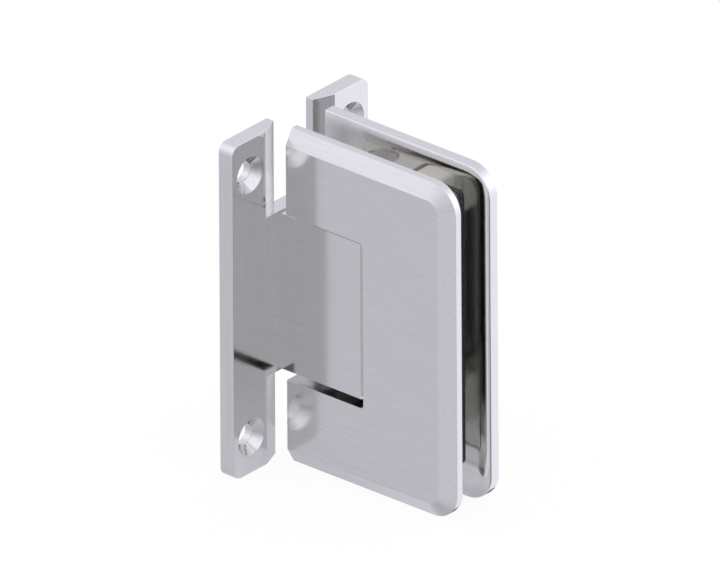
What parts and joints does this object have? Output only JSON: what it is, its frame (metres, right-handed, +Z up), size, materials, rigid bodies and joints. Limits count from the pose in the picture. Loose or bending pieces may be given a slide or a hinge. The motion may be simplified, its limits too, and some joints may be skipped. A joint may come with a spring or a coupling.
{
  "type": "glass door hinge",
  "caption": "Wall to glass shower door hinge: a notched wall plate carries a pivot block, and bevelled clamp plates that grip the glass swing about it either way.",
  "frame": {"origin": "centre of the wall plate's back face, midway between its four screw holes", "axes": "+X from the wall into the door, +Y towards the rear clamp plate, +Z up along the pivot axis"},
  "size_m": [0.06, 0.05, 0.09],
  "materials": {
    "wall_plate_nickel": "forged brass, satin nickel plated, brushed upright on the face",
    "block_nickel": "forged brass, satin nickel plated, finely brushed",
    "clamp_nickel": "forged brass, satin nickel plated, brushed along the door, polished inside",
    "holder_nickel": "machined brass, nickel plated",
    "bare_brass": "machined brass, unplated",
    "ground_steel": "ground stainless steel",
    "screw_steel": "stainless socket screws",
    "spring_steel": "drawn spring wire",
    "acetal": "black acetal",
    "natural_nylon": "moulded natural nylon",
    "clear_gasket": "soft clear sheet"
  },
  "bodies": {
    "wall_side": {"wall_plate": "wall_plate_nickel", "pivot_block": "block_nickel", "block_screws": "screw_steel", "upper_bush": "acetal", "lower_bush": "acetal", "upper_thrust_washer": "acetal", "lower_thrust_washer": "acetal", "spring_screws": "screw_steel", "upper_spring": "spring_steel", "lower_spring": "spring_steel"},
    "upper_plunger_body": {"upper_plunger": "bare_brass"},
    "lower_plunger_body": {"lower_plunger": "bare_brass"},
    "glass_side": {"front_clamp_plate": "clamp_nickel", "rear_clamp_plate": "clamp_nickel", "pivot_pin": "ground_steel", "upper_pin_holder": "holder_nickel", "lower_pin_holder": "holder_nickel", "holder_screws": "screw_steel", "pin_lock_screws": "screw_steel", "clamp_screws": "screw_steel", "boss_sleeves": "natural_nylon", "front_gasket": "clear_gasket", "rear_gasket": "clear_gasket"}
  },
  "joints": [
    {"name": "door_swing", "type": "hinge", "parent": "wall_side", "child": "glass_side", "pos_m": [0.022, 0, 0], "axis": [0, 0, 1], "range_deg": [-90, 90]},
    {"name": "upper_plunger_slide", "type": "slide", "parent": "wall_side", "child": "upper_plunger_body", "axis": [1, 0, 0], "range_m": [0, 0.0006], "deforming": ["upper_spring"]},
    {"name": "lower_plunger_slide", "type": "slide", "parent": "wall_side", "child": "lower_plunger_body", "axis": [1, 0, 0], "range_m": [0, 0.0006], "deforming": ["lower_spring"]}
  ]
}
